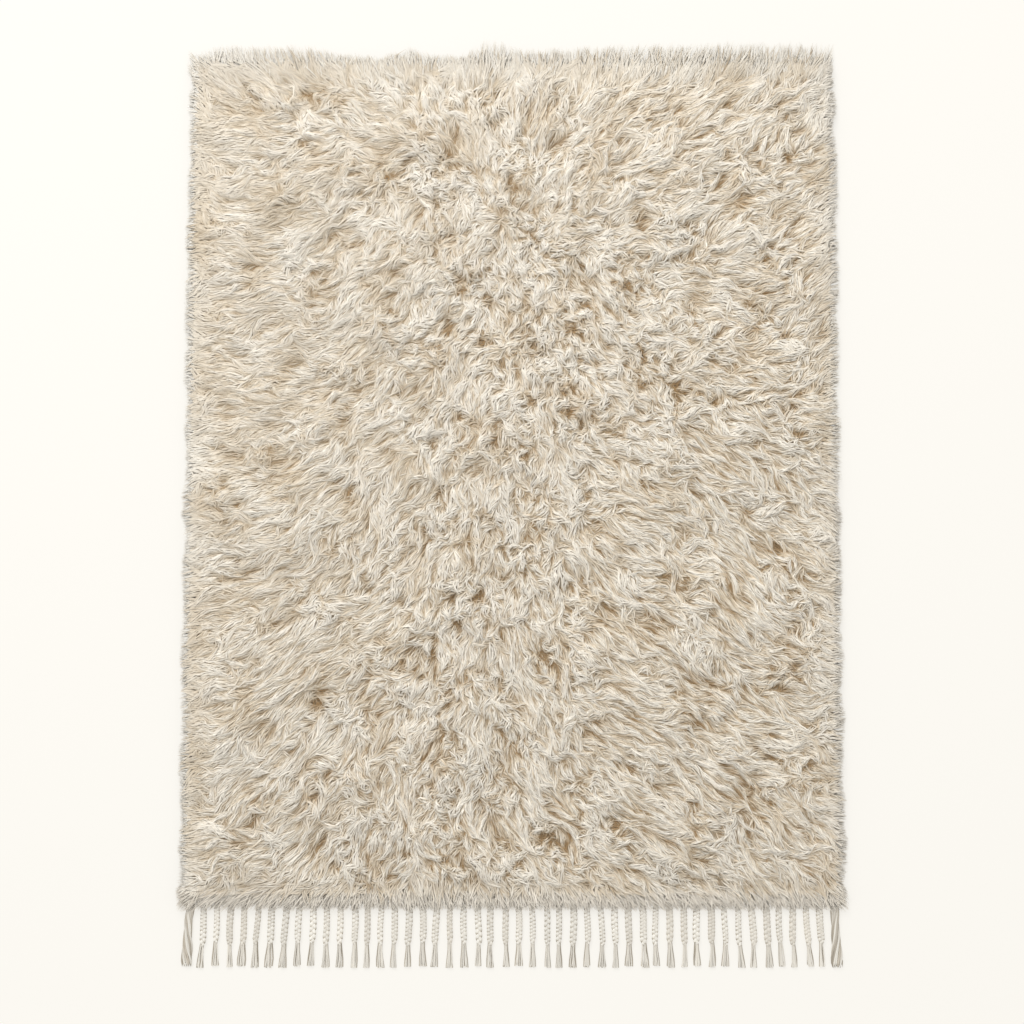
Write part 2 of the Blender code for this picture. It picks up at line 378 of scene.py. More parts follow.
def tuft_height(tuft, along, across):
    """Height of a tuft's surface above the pile's mean."""
    rise = tuft["crest"] * (2 * smoothstep(0.0, 0.70, along) - 1.2)
    fall = tuft["crest"] * 1.1 * smoothstep(0.72, 1.05, along)
    crown = tuft["dome"] * tuft["half"] * tuft_profile(along) * (1 - np.clip(across, -1, 1) ** 2)
    return tuft["lift"] + rise - fall + crown


def under_limit(height):
    """Heights, eased off above the pile's highest."""
    return np.where(height > HIGHEST, HIGHEST + ABOVE_SHARE * (height - HIGHEST), height)


def plan_cells():
    """Middles of the relief grid's cells, across and along the rug."""
    columns = int(2 * HALF_WIDTH / RELIEF_CELL) + 1
    rows = int((BACK_END - FRONT_END) / RELIEF_CELL) + 1
    xs = -HALF_WIDTH + (np.arange(columns) + 0.5) * RELIEF_CELL
    return xs, FRONT_END + (np.arange(rows) + 0.5) * RELIEF_CELL


def window(centre, extent):
    """Rows and columns of the relief grid within a distance of a point."""
    x, y = centre
    left = max(0, int((x - extent + HALF_WIDTH) / RELIEF_CELL))
    right = int((x + extent + HALF_WIDTH) / RELIEF_CELL) + 1
    low = max(0, int((y - extent - FRONT_END) / RELIEF_CELL))
    high = int((y + extent - FRONT_END) / RELIEF_CELL) + 1
    return slice(low, high), slice(left, right)


def laid_over(kind, base, heading, chance):
    """Grids of the height and the heading of the uppermost tuft at each point."""
    tufts = scattered_tufts(kind, chance)
    xs, ys = plan_cells()
    grid = base - kind["below"]
    heading = heading.copy()
    for number in range(len(tufts["centre"])):
        tuft = {name: values[number] for name, values in tufts.items()}
        forward = tuft["heading"]
        part = window(tuft["centre"], tuft["reach"] + tuft["half"])
        x = xs[None, part[1]] - tuft["centre"][0]
        y = ys[part[0], None] - tuft["centre"][1]
        along = (x * math.cos(forward) + y * math.sin(forward)) / tuft["reach"]
        swing = tuft["curl"] * tuft["reach"] * np.clip(along, 0, 1) ** 2
        across = y * math.cos(forward) - x * math.sin(forward) - swing
        across = across / (tuft["half"] * tuft_profile(along))
        own = base[part] + tuft_height(tuft, along, across)
        covered = (along > 0) & (along < 1) & (np.abs(across) < 1) & (own > grid[part])
        grid[part] = np.where(covered, own, grid[part])
        turned = forward + 2 * tuft["curl"] * along - 0.25 * across * along
        heading[part] = np.where(covered, turned, heading[part])
    return grid, heading


def sample(grid, x, y):
    """Value of a relief grid at each point."""
    column = np.clip((x + HALF_WIDTH) / RELIEF_CELL - 0.5, 0, grid.shape[1] - 1.001)
    row = np.clip((y - FRONT_END) / RELIEF_CELL - 0.5, 0, grid.shape[0] - 1.001)
    left, low = column.astype(int), row.astype(int)
    right_share, high_share = column - left, row - low
    near = grid[low, left] * (1 - right_share) + grid[low, left + 1] * right_share
    far = grid[low + 1, left] * (1 - right_share) + grid[low + 1, left + 1] * right_share
    return near * (1 - high_share) + far * high_share


def smoothed(grid, radius):
    """The grid blurred over a radius in metres."""
    rows = np.fft.fftfreq(grid.shape[0], RELIEF_CELL)
    columns = np.fft.rfftfreq(grid.shape[1], RELIEF_CELL)
    soft = np.exp(-2 * (math.pi * radius) ** 2 * (rows[:, None] ** 2 + columns[None] ** 2))
    return np.fft.irfft2(np.fft.rfft2(grid) * soft, grid.shape)


def soft_noise(shape, size, chance):
    """Grid of smooth noise of unit spread."""
    noise = smoothed(chance.normal(0, 1, shape), size)
    return noise / noise.std()


def drawn_out(noise, heading, length):
    """The noise smeared along the heading, at unit spread."""
    east, north = np.cos(heading), np.sin(heading)
    total = noise.copy()
    for way in (RELIEF_CELL, -RELIEF_CELL):
        x, y = np.meshgrid(*plan_cells())
        for _ in range(int(length / 2 / RELIEF_CELL)):
            x, y = x + way * sample(east, x, y), y + way * sample(north, x, y)
            total += sample(noise, x, y)
    return total / total.std()


def pile_surface(chance):
    """Grids of the pile's height, the heading of its strands and how crinkled they are."""
    x, y = np.meshgrid(*plan_cells())
    depth = inside(x, y)
    edge = smoothstep(0.0, 0.05, depth)
    combed, jumble = (grid.reshape(x.shape) for grid in comb(x.ravel(), y.ravel()))
    broad, _ = laid_over(BROAD_TUFTS, np.zeros_like(x), combed, chance)
    bed = pile_top(x, y) + (smoothed(broad, 0.004) * (0.60 + 0.50 * jumble) - BED) * edge
    height, heading = laid_over(SMALL_TUFTS, bed, combed, chance)
    east, north = smoothed(np.cos(heading), 0.002), smoothed(np.sin(heading), 0.002)
    inner = smoothstep(0.010, 0.060, depth)
    heading = np.arctan2(north, east)
    for size, calm, wild in SWIRLS:
        turn = (calm + wild * jumble) * inner
        heading = heading + turn * soft_noise(x.shape, size, chance)
    crinkled = smoothstep(0.8, 2.0, soft_noise(x.shape, CRINKLES["size"], chance))
    crinkled = crinkled * inner * (0.4 + 0.6 * jumble)
    heading = heading + CRINKLES["turn"] * crinkled * soft_noise(x.shape, CRINKLES["rough"], chance)
    lively = liveliness(x, y) * edge
    for width, length, rise in STREAKS:
        noise = soft_noise(x.shape, width, chance)
        height = height + rise * lively * drawn_out(noise, heading, length)
    return under_limit(height), heading, crinkled


def lowest_near(grid, cells):
    """The least value of the grid within some cells of each cell."""
    for axis in (0, 1):
        shifted = [np.roll(grid, step, axis) for step in range(-cells, cells + 1)]
        grid = np.minimum.reduce(shifted)
    return grid


def hollows(surface, x, y):
    """How far each point lies in a hollow of the pile, 0 to 1."""
    broad = smoothed(surface, 0.020)
    return smoothstep(-0.001, 0.0055, sample(broad - smoothed(surface, 0.004), x, y))


def outline(x, y, ragged):
    """How far tips at x, y may reach at the sides, the back and the front."""
    parts = dict(
        always=1,
        swell=np.clip(0.5 + 0.45 * wave_noise(x, y, 0.11, seed=31), 0, 1),
        bumps=np.clip(0.45 + 0.40 * wave_noise(x, y, 0.032, seed=9), 0, 1),
        between=0.5 + 0.5 * np.cos(math.tau * x / CORD_PITCH),
        ragged=ragged,
    )
    back = BACK_END + np.interp(x, BACK_X, BACK_REACH)
    reach = dict(side=HALF_WIDTH, back=back, front=FRONT_REACH - FRONT_END)
    for edge, shares in SHORT.items():
        for name, share in shares.items():
            reach[edge] = reach[edge] - share * parts[name]
    return reach.values()


def held_inside(root, plan, chance):
    """Strands, shortened where they would pass the pile's uneven outline."""
    x, y = plan[:, -1].T
    side, back, front = outline(x, y, chance.uniform(0, 1, len(plan)) ** 2)
    limits = [
        (side, np.abs(x), np.abs(root[:, 0])),
        (back, y, root[:, 1]),
        (front, -y, -root[:, 1]),
    ]
    share = np.ones(len(plan))
    for limit, reached, base in limits:
        room = np.maximum(limit - base, 0.002) / np.maximum(reached - base, 1e-6)
        share = np.where(reached > limit, np.minimum(share, room), share)
    return root[:, None] + (plan - root[:, None]) * np.clip(share, 0.05, 1)[:, None, None]


def traced(point, heading, length, stations, chance):
    """Plan positions along strands that follow the heading, each from its point."""
    east, north = np.cos(heading), np.sin(heading)
    step = length / (stations - 1)
    off = chance.normal(0, STRAY, len(point))
    plan = [point]
    for _ in range(stations - 2):
        x, y = plan[-1].T
        turn = np.arctan2(sample(north, x, y), sample(east, x, y)) + off
        plan.append(plan[-1] + step[:, None] * np.stack([np.cos(turn), np.sin(turn)], 1))
    plan.insert(0, 2 * plan[0] - plan[1])
    return np.stack(plan, 1) + chance.normal(0, 0.0005, (len(point), stations, 2))


def arched(z):
    """Heights along strands, with ends that leave room for a keel below."""
    share = np.linspace(0, 1, z.shape[1])[1:-1]
    keel = z[:, :1] * (1 - share) + z[:, -1:] * share
    over = np.max(keel + KEEL_DEPTH - z[:, 1:-1], axis=1, keepdims=True)
    ends = np.maximum(z[:, [0, -1]] - np.maximum(over, 0), KEEL_LOWEST)
    keel = ends[:, :1] * (1 - share) + ends[:, 1:] * share
    middle = np.maximum(z[:, 1:-1], keel + KEEL_DEPTH)
    return np.concatenate([ends[:, :1], middle, ends[:, 1:]], 1)


def rug_place(root):
    """What the rug is like at each root."""
    return dict(
        jumble=comb(*root.T)[1],
        lively=liveliness(*root.T),
        back=smoothstep(0.11, 0.03, BACK_END - root[:, 1]),
        side=smoothstep(0.060, 0.005, HALF_WIDTH - np.abs(root[:, 0])),
        patches=wave_noise(*root.T, 0.15, seed=8),
        broad=wave_noise(*root.T, 0.45, seed=21),
    )


def lying_shade(place, x, y, layer, pile):
    """Shade of lying strands, by the relief, their layers and their places: painted light on
    crests, painted shade in grooves, hollows and lower layers, and colour that differs by place.
    """
    surface, _, crinkled = pile
    lively = place["lively"][:, None]
    # Painted light and shade: strands on the relief's crests lighter, those in its grooves darker
    local = np.clip((surface - smoothed(surface, 0.008)) / 0.0022, -1.2, 1.2)
    fine = np.clip((surface - smoothed(surface, 0.0032)) / 0.0008, -1.6, 0.8)
    relief = SHADE["local"] * local + SHADE["fine"] * fine
    shade = SHADE["mean"] + lively * sample(relief, x, y)
    # Roots darker than tips: painted shade, and the wool's tanner roots
    shade = shade + SHADE["along"] * np.linspace(-1, 1, x.shape[1])
    # Painted shade: strands lower in the stack are darker
    shade = shade + SHADE["layer"] * layer * lively
    # Painted shade in the pile's hollows
    shade = shade + SHADE["hollow"] * hollows(surface, x, y)
    shade = shade - CRINKLES["dark"] * sample(crinkled, x, y)
    near = sum(SHADE[name] * place[name] for name in ("jumble", "back", "side"))
    areas = SHADE["patches"] * place["patches"] + SHADE["broad"] * place["broad"]
    return in_range(shade + (near + areas)[:, None])


def lying_strands(root, pile, reach, sunk, chance):
    """Strands that follow the pile's surface from each root."""
    surface, heading, _ = pile
    count, stations = len(root), len(sunk)
    place = rug_place(root)
    jumble, lively = place["jumble"], place["lively"]
    length = reach * chance.uniform(0.75, 1.25, count) * (1 - 0.42 * jumble + 0.80 * place["back"])
    plan = held_inside(root, traced(root, heading, length, stations, chance), chance)
    if stations == 3:
        plan[:, 1] = (plan[:, 0] + plan[:, 2]) / 2
    x, y = plan[..., 0], plan[..., 1]
    layer = chance.normal(0, 1, (count, 1))
    z = sample(smoothed(surface, 0.0015), x, y) - np.array(sunk) + 0.0006 * layer * lively[:, None]
    z = arched(z) if stations == 3 else np.maximum(z, STRAND_LOWEST)
    # Painted shade: the tone is darker near the back; near the sides a lower tone goes with their
    # lighter shade, for a more neutral colour
    tone = 0.5 + chance.normal(0, TONE["spread"], count) * lively
    for name in ("back", "side", "broad"):
        tone = tone + TONE[name] * place[name]
    taper = np.array([0, *np.linspace(0.95, 1.0, stations - 2), 0])
    width = STRAND_WIDTH * (1 + 0.2 * jumble[:, None]) * chance.uniform(0.75, 1.15, (count, 1))
    return dict(
        points=np.concatenate([plan, z[..., None]], 2),
        widths=width * taper,
        tone=in_range(tone),
        shade=lying_shade(place, x, y, layer, pile),
        roll=chance.normal(0, ROLL, count),
        softness=1 - (1 - SOFTNESS) * lively,
        lean=surface_lean(surface, x, y),
        # Painted shadow of a neighbour: each strand darker on one edge, lighter on the other
        covered=chance.normal(0, NEIGHBOUR_SHADOW, count) * lively,
    )


def surface_lean(surface, x, y):
    """Upward direction of the pile's own surface at each point."""
    north, east = np.gradient(smoothed(surface, LEAN_RADIUS), RELIEF_CELL)
    edge = smoothstep(0.010, 0.045, inside(x, y))
    sideways = [-LEAN_SHARE * edge * sample(slope, x, y) for slope in (east, north)]
    lean = np.stack([*sideways, np.ones_like(x)], -1)
    return lean / np.linalg.norm(lean, axis=-1, keepdims=True)


def rim_roots(chance):
    """Roots round the woven ground, with the outward heading and the edge of each."""
    half, length = GROUND_HALF, GROUND_LENGTH
    place = chance.uniform(0, 2 * length + 6 * half, RIM_STRANDS)
    side = place < 2 * length
    right = place < length
    back = ~side & (place < 2 * length + 2 * half)
    inset = chance.uniform(0, RIM_DEEP, RIM_STRANDS) * np.where(back, 2.2, 1.0)
    step = place - 2 * length - half
    front_step = (step - half) % (2 * half) - half
    x = np.where(right, 1.0, -1.0) * (half - inset)
    x = np.where(side, x, np.where(back, step, front_step))
    y = GROUND_FRONT + place % length
    y = np.where(side, y, np.where(back, GROUND_BACK - inset, GROUND_FRONT + inset))
    out = np.where(back, math.pi / 2, -math.pi / 2)
    out = np.where(side, np.where(right, 0.0, math.pi), out)
    return x, y, out, dict(left=side & ~right, right=right, back=back, front=~(side | back))


def rim_plan(chance):
    """Plan positions along the rim strands, and the edge that each is on."""
    x, y, out, edge = rim_roots(chance)
    front = edge["front"]
    turn = np.angle(np.exp(1j * (comb(x, y)[0] - out)))
    turn = np.where(front, np.clip(0.9 * turn, -1.0, 1.0), np.clip(0.55 * turn, -0.6, 0.6))
    turn = turn + 0.16 * wave_noise(x, y, 0.03, seed=17)
    turn = turn + chance.normal(0, 1, RIM_STRANDS) * np.where(front, 0.28, 0.10)
    reach = RIM_REACH * chance.uniform(0.7, 1.1, RIM_STRANDS) / np.maximum(np.cos(turn), 0.7)
    reach = reach * np.where(edge["back"], 1.45, 1.0)
    steps = np.array([0.0, 0.5, 1.0])
    bend = chance.normal(0, 0.08, (RIM_STRANDS, 1)) * steps**2
    east, north = np.cos(out + turn)[:, None], np.sin(out + turn)[:, None]
    along, off = reach[:, None] * steps, reach[:, None] * bend
    plan_x = x[:, None] + east * along - north * off
    plan_y = y[:, None] + north * along + east * off
    plan = np.stack([plan_x, plan_y], 2)
    plan = held_inside(plan[:, 0].copy(), plan, chance)
    plan[:, 1] = (plan[:, 0] + plan[:, 2]) / 2
    return plan, edge


def rim_strands(chance):
    """Strands of the outermost knots, which lie over the ground's edge."""
    plan, edge = rim_plan(chance)
    layer = chance.uniform(0.35, 1.0, (RIM_STRANDS, 1))
    z = pile_top(plan[..., 0], plan[..., 1]) * layer - np.array(RIM_SUNK)
    # Painted shade: lower rim strands and their roots darker
    shade = RIM_SHADE["mean"] + RIM_SHADE["layer"] * layer
    shade = shade + RIM_SHADE["along"] * np.linspace(0, 1, 3)
    shade = shade + chance.normal(0, RIM_SHADE["spread"], (RIM_STRANDS, 1))
    # Painted light: the left rim lighter and the back a little lighter; the front warmer
    shade = shade + sum(RIM_SHADE[name] * edge[name] for name in ("back", "left", "front"))[:, None]
    width = STRAND_WIDTH * chance.uniform(0.65, 1.0, (RIM_STRANDS, 1))
    # Painted shade: the right rim darker in tone; the front lighter in tone, to go with its lower
    # shade
    tone = 0.5 + RIM_TONE["front"] * edge["front"] + RIM_TONE["right"] * edge["right"]
    points = np.concatenate([plan, np.maximum(z, STRAND_LOWEST)[..., None]], 2)
    return dict(
        points=points,
        widths=width * np.array([0, 1, 0]),
        tone=in_range(tone + chance.normal(0, RIM_TONE["spread"], RIM_STRANDS)),
        shade=in_range(shade),
        roll=chance.uniform(0, math.tau, RIM_STRANDS),
        softness=1 - (1 - SOFTNESS) * liveliness(*plan[:, 0].T) * 0.4,
        lean=np.zeros_like(points) + (0.0, 0.0, 1.0),
        covered=np.zeros(RIM_STRANDS),
    )


def spindles(strands, sides, thick):
    """Verts, faces and normals of closed strands with pointed ends."""
    points, widths, roll = strands["points"], strands["widths"], strands["roll"]
    count, stations, _ = points.shape
    along = np.gradient(points, axis=1)
    along /= np.linalg.norm(along, axis=2, keepdims=True) + 1e-12
    flat = np.cross(along, np.array([0.0, 0.0, 1.0]))
    flat /= np.linalg.norm(flat, axis=2, keepdims=True) + 1e-9
    up = np.cross(flat, along)
    rings, facing = [], []
    for corner in range(sides):
        angle = roll[:, None] + math.tau * corner / sides
        facing.append(flat * np.cos(angle)[..., None] + up * np.sin(angle)[..., None])
        rings.append(
            points
            + flat * (np.cos(angle) * widths / 2)[..., None]
            + up * (np.sin(angle) * widths / 2 * thick)[..., None]
        )
    rings = np.stack(rings, 2)[:, 1:-1].reshape(count, -1, 3)
    facing = np.stack(facing, 2)[:, 1:-1].reshape(count, -1, 3)
    verts = np.concatenate([points[:, :1], rings, points[:, -1:]], 1)
    normals = np.concatenate([up[:, :1], facing, up[:, -1:]], 1).reshape(-1, 3)
    shared = [ring_values(strands["lean"][..., axis], sides) for axis in range(3)]
    softness = np.repeat(strands["softness"], verts.shape[1])[:, None]
    normals = normals * (1 - softness) + np.stack(shared, 1) * softness
    normals /= np.linalg.norm(normals, axis=1, keepdims=True)
    faces = sliver_faces(stations - 2) if sides == 2 else spindle_faces(stations - 2, sides)
    all_faces = faces[None] + (np.arange(count) * verts.shape[1])[:, None, None]
    return verts.reshape(-1, 3), all_faces.reshape(-1, 3), normals


def sliver_faces(rings):
    """Triangles of a strand with two edges above and a keel from end to end below."""
    tip = 2 * rings + 1
    faces = [(0, 1, 2), (tip - 1, tip - 2, tip), (0, tip, tip - 2), (0, tip - 1, tip)]
    for level in range(rings - 1):
        right, left = 2 * level + 1, 2 * level + 2
        faces += [(right, right + 2, left + 2), (right, left + 2, left)]
        faces += [(0, right + 2, right), (0, left, left + 2)]
    return np.array(faces)


def spindle_faces(rings, sides):
    """Triangles of a strand with rings of points between its ends."""
    last = 1 + sides * (rings - 1)
    faces = []
    for corner in range(sides):
        after = (corner + 1) % sides
        faces.append((0, 1 + corner, 1 + after))
        for level in range(rings - 1):
            here = 1 + sides * level
            there = here + sides
            faces.append((here + corner, there + after, here + after))
            faces.append((here + corner, there + corner, there + after))
        faces.append((last + corner, last + sides, last + after))
    return np.array(faces)


def ring_values(values, sides):
    """A value for each point of spindles, from one for each station."""
    middle = np.repeat(values[:, 1:-1], sides, axis=1)
    return np.concatenate([values[:, :1], middle, values[:, -1:]], 1).ravel()


def linked(name, data):
    """A new object in the scene."""
    made = bpy.data.objects.new(name, data)
    bpy.context.scene.collection.objects.link(made)
    return made


def tri_piece(name, verts, faces, material, tone, shade):
    """A mesh object from points and triangles, with the tone and shade of each point."""
    mesh = bpy.data.meshes.new(name)
    mesh.vertices.add(len(verts))
    mesh.vertices.foreach_set("co", verts.astype(np.float32).ravel())
    mesh.loops.add(len(faces) * 3)
    mesh.loops.foreach_set("vertex_index", faces.astype(np.int32).ravel())
    mesh.polygons.add(len(faces))
    mesh.polygons.foreach_set("loop_start", np.arange(0, len(faces) * 3, 3, dtype=np.int32))
    mesh.update(calc_edges=True)
    mesh.shade_smooth()
    corners = np.stack([tone, shade], 1)[faces.ravel()]
    mesh.uv_layers.new(name="OFBake").uv.foreach_set("vector", corners.astype(np.float32).ravel())
    mesh.materials.append(material)
    return linked(name, mesh)


def dress(piece, node):
    """The piece, riding on the rug in the place of a solid."""
    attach(piece, "root")
    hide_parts(node)
    return piece


def strand_piece(name, strands, part, sides, thick, material):
    """One piece of a set of strands: those whose numbers are in part."""
    own = {key: values[part] for key, values in strands.items()}
    verts, faces, normals = spindles(own, sides, thick)
    stations = own["points"].shape[1]
    tone = ring_values(np.repeat(own["tone"][:, None], stations, 1), sides)
    across = np.array([0, *np.tile(np.linspace(-1, 1, sides), stations - 2), 0])
    # Across each strand: the fibres' spread, and the painted shadow of its neighbour on one edge
    tone = tone + np.outer(own["covered"] + FIBRE_SPREAD, across).ravel()
    shade = ring_values(own["shade"], sides)
    piece = tri_piece(name, verts, faces, material, in_range(tone), shade)
    piece.data.normals_split_custom_set_from_vertices(normals)
    return piece


def pile_pieces(material, rim_material):
    """All pieces of the pile."""
    chance = np.random.default_rng(PILE_SEED)
    relief = pile_surface(chance)
    roots = root_points(STRAND_SPACING, chance)
    bent = chance.uniform(0, 1, len(roots)) < BENT_SHARE
    plain = lying_strands(roots[~bent], relief, PLAIN_REACH, PLAIN_SUNK, chance)
    curved = lying_strands(roots[bent], relief, BENT_REACH, BENT_SUNK, chance)
    sets = [
        ("pile_strands", BENT_PIECES, curved, 3, material),
        ("pile_fur", PLAIN_PIECES, plain, 2, material),
        ("pile_rim", 1, rim_strands(chance), 3, rim_material),
    ]
    made = []
    for name, pieces, strands, sides, wool in sets:
        order = np.argsort(strands["points"][:, 0, 1], kind="stable")
        for number, part in enumerate(np.array_split(order, pieces)):
            piece = strand_piece(f"{name}_{number + 1}", strands, part, sides, STRAND_THICK, wool)
            made.append(dress(piece, "pile_field"))
    made.append(undercoat(relief[0], material))
    return made


def over_ground(columns, rows):
    """Points of a grid over the woven ground."""
    xs = np.linspace(-GROUND_HALF, GROUND_HALF, columns + 1)
    return np.meshgrid(xs, np.linspace(GROUND_FRONT, GROUND_BACK, rows + 1))


def grid_faces(columns, rows):
    """Triangles of a grid with columns x rows cells."""
    corner = np.arange((columns + 1) * rows).reshape(rows, columns + 1)[:, :-1].ravel()
    right, above = corner + 1, corner + columns + 1
    return np.concatenate(
        [np.stack([corner, right, above + 1], 1), np.stack([corner, above + 1, above], 1)]
    )


def grid_outline(columns, rows):
    """Numbers of the points round such a grid, in order."""
    front = np.arange(columns + 1)
    right = np.arange(1, rows + 1) * (columns + 1) + columns
    back = rows * (columns + 1) + np.arange(columns - 1, -1, -1)
    left = np.arange(rows - 1, 0, -1) * (columns + 1)
    return np.concatenate([front, right, back, left])


def undercoat(surface, material):
    """The mass of wool below the strands that show."""
    columns, rows = int(2 * GROUND_HALF / UNDER_CELL), int(GROUND_LENGTH / UNDER_CELL)
    x, y = over_ground(columns, rows)
    border = np.ones_like(x, bool)
    border[1:-1, 1:-1] = False
    x, y, border = x.ravel(), y.ravel(), border.ravel()
    fine = sample(lowest_near(smoothed(surface, 0.002), 3), x, y) - UNDER_DEPTH
    edge = smoothstep(0.0, 0.03, inside(x, y) - GROUND_INSET)
    z = np.clip(fine - 0.006 * (1 - edge), UNDER_LOWEST, HIGHEST)
    z = np.where(border, UNDER_BORDER, z)
    tone = 0.5 + 0.06 * wave_noise(x, y, 0.03, seed=21)
    # Painted shade of the deep pile, with its tanner wool: the undercoat is darker than the
    # strands, and darker still in hollows
    shade = 0.32 - 0.18 * hollows(surface, x, y) + 0.04 * wave_noise(x, y, 0.02, seed=22)
    verts, faces = np.stack([x, y, z], 1), grid_faces(columns, rows)
    piece = tri_piece("pile_undercoat", verts, faces, material, tone, in_range(shade))
    return dress(piece, "pile_field")


def woven_ground(material):
    """The woven cloth that the pile is knotted into, a closed slab."""
    x, y = (grid.ravel() for grid in over_ground(GROUND_COLUMNS, GROUND_ROWS))
    count = len(x)
    low, high = np.full(count, FLOOR_GAP), np.full(count, GROUND_TOP)
    verts = np.concatenate([np.stack([x, y, low], 1), np.stack([x, y, high], 1)])
    top = grid_faces(GROUND_COLUMNS, GROUND_ROWS)
    edge = grid_outline(GROUND_COLUMNS, GROUND_ROWS)
    after = np.roll(edge, -1)
    low_wall = np.stack([edge, after, after + count], 1)
    high_wall = np.stack([edge, after + count, edge + count], 1)
    faces = np.concatenate([top[:, ::-1], top + count, low_wall, high_wall])
    u = (verts[:, 0] + GROUND_HALF) / (2 * GROUND_HALF)
    v = (verts[:, 1] - GROUND_FRONT) / GROUND_LENGTH
    piece = tri_piece("woven_ground", verts, faces, material, u, v)
    return dress(piece, "pile_field")


def cord_lines():
    """Each cord's root, how its line wanders and its length, as in the solids."""
    chance = random.Random(CORD_SEED)
    cords = []
    for number in range(CORDS):
        root = ROOT_SPREAD * (2 * number / (CORDS - 1) - 1)
        cord = dict(
            root=root,
            lean=root * FAN + chance.uniform(-LEAN, LEAN),
            sway=chance.uniform(-SWAY, SWAY),
            length=FRINGE_ROOT - FRINGE_END - max(0.0, chance.uniform(-SHORTEST, SHORTEST)),
            corner=number in (0, CORDS - 1),
        )
        cords.append(cord)
    return cords


def cord_point(cord, along):
    """Plan position of a cord's middle at a share of its length."""
    x = cord["root"] + cord["lean"] * along + cord["sway"] * np.sin(math.pi * along)
    return x, FRINGE_ROOT - cord["length"] * along


def plait_strands(cords, chance):
    """Three yarn bundles for each plaited cord, each weaving over and under the others."""
    points, widths, shade, tone = [], [], [], []
    for cord in cords:
        tension = chance.uniform(0.90, 1.12)
        pitch = PLAIT_PITCH * chance.uniform(0.92, 1.08)
        first = chance.uniform(0, math.tau)
        end = PLAIT_END + chance.uniform(-0.03, 0.02)
        cord["plait_end"] = end
        along = np.linspace(0.02, end, PLAIT_STEPS)
        x, y = cord_point(cord, along)
        near_end = smoothstep(end - 0.10, end, along)
        swing = PLAIT_SWING * tension * (1 - 0.45 * near_end)
        cord_tone = chance.normal(0, 0.10)
        crisp = chance.uniform(0.40, 1.40)
        uneven = 0.10 * np.sin(math.tau * (1.4 * along + chance.uniform(0, 1)))
        wander = 0.0010 * np.sin(math.tau * (1.1 * along + chance.uniform(0, 1)))
        for bundle in range(3):
            turn = first + math.tau * (bundle / 3 + along * cord["length"] / pitch + uneven)
            centre = PLAIT_YARN * YARN_HALF + PLAIT_LIFT + FLOOR_GAP
            lift = PLAIT_LIFT * np.sin(2 * turn)
            side = wander + swing * np.sin(turn)
            points.append(np.stack([x + side, y, centre + lift], 1))
            widths.append(PLAIT_YARN * tension * (1 - 0.35 * near_end) * end_taper(len(along)))
            # Painted light and shade: bundles lighter where they rise, darker where they dip, more
            # so on crisper cords
            shade.append(0.57 + 0.38 * crisp * lift / PLAIT_LIFT)
            tone.append(0.5 + cord_tone + chance.normal(0, 0.10))
    return strand_set(points, widths, shade, tone, chance)


def end_taper(stations):
    """Full width along a yarn, and none at its ends."""
    taper = np.ones(stations)
    taper[0] = taper[-1] = 0
    return taper


def strand_set(points, widths, shade, tone, chance):
    """Yarns of the fringe, as a set of strands."""
    points = np.array(points)
    return dict(
        points=points,
        lean=np.zeros_like(points) + (0.0, 0.0, 1.0),
        softness=np.full(len(points), CORD_SOFTNESS),
        covered=np.zeros(len(points)),
        widths=np.array(widths),
        shade=in_range(shade),
        tone=in_range(tone),
        roll=chance.uniform(0, math.tau, len(points)),
    )


def tuft_strands(cords, chance):
    """Loose yarns below each plait, cut off level."""
    points, widths, shade, tone = [], [], [], []
    steps = np.array([0.0, 0.06, 0.35, 0.70, 0.985, 1.0])
    for cord in cords:
        spread = TUFT_SPREAD * chance.uniform(0.75, 1.15)
        for yarn in range(TUFT_YARNS):
            side = 2 * yarn / (TUFT_YARNS - 1) - 1
            start = cord["plait_end"] - 0.06
            stop = 1 - max(0.0, chance.normal(0, 0.012))
            along = start + (stop - start) * steps
            x, y = cord_point(cord, along)
            fan = 0.45 + 0.55 * smoothstep(0.1, 1.0, steps)
            bend = chance.normal(0, 0.0010) * np.sin(math.pi * steps)
            layer = (yarn % 2) * TUFT_YARN * 0.85
            z = TUFT_YARN * 0.5 + 0.0003 + layer + 0.0012 * (1 - steps)
            points.append(np.stack([x + side * spread * fan + bend, y, z], 1))
            widths.append(TUFT_YARN * chance.uniform(0.8, 1.15) * end_taper(len(steps)))
            # Painted shade: the lower yarns darker, and all lighter towards their cut ends
            shade.append(0.26 + 0.40 * (yarn % 2) + 0.15 * steps)
            tone.append(0.5 + chance.normal(0, 0.18))
    return strand_set(points, widths, shade, tone, chance)


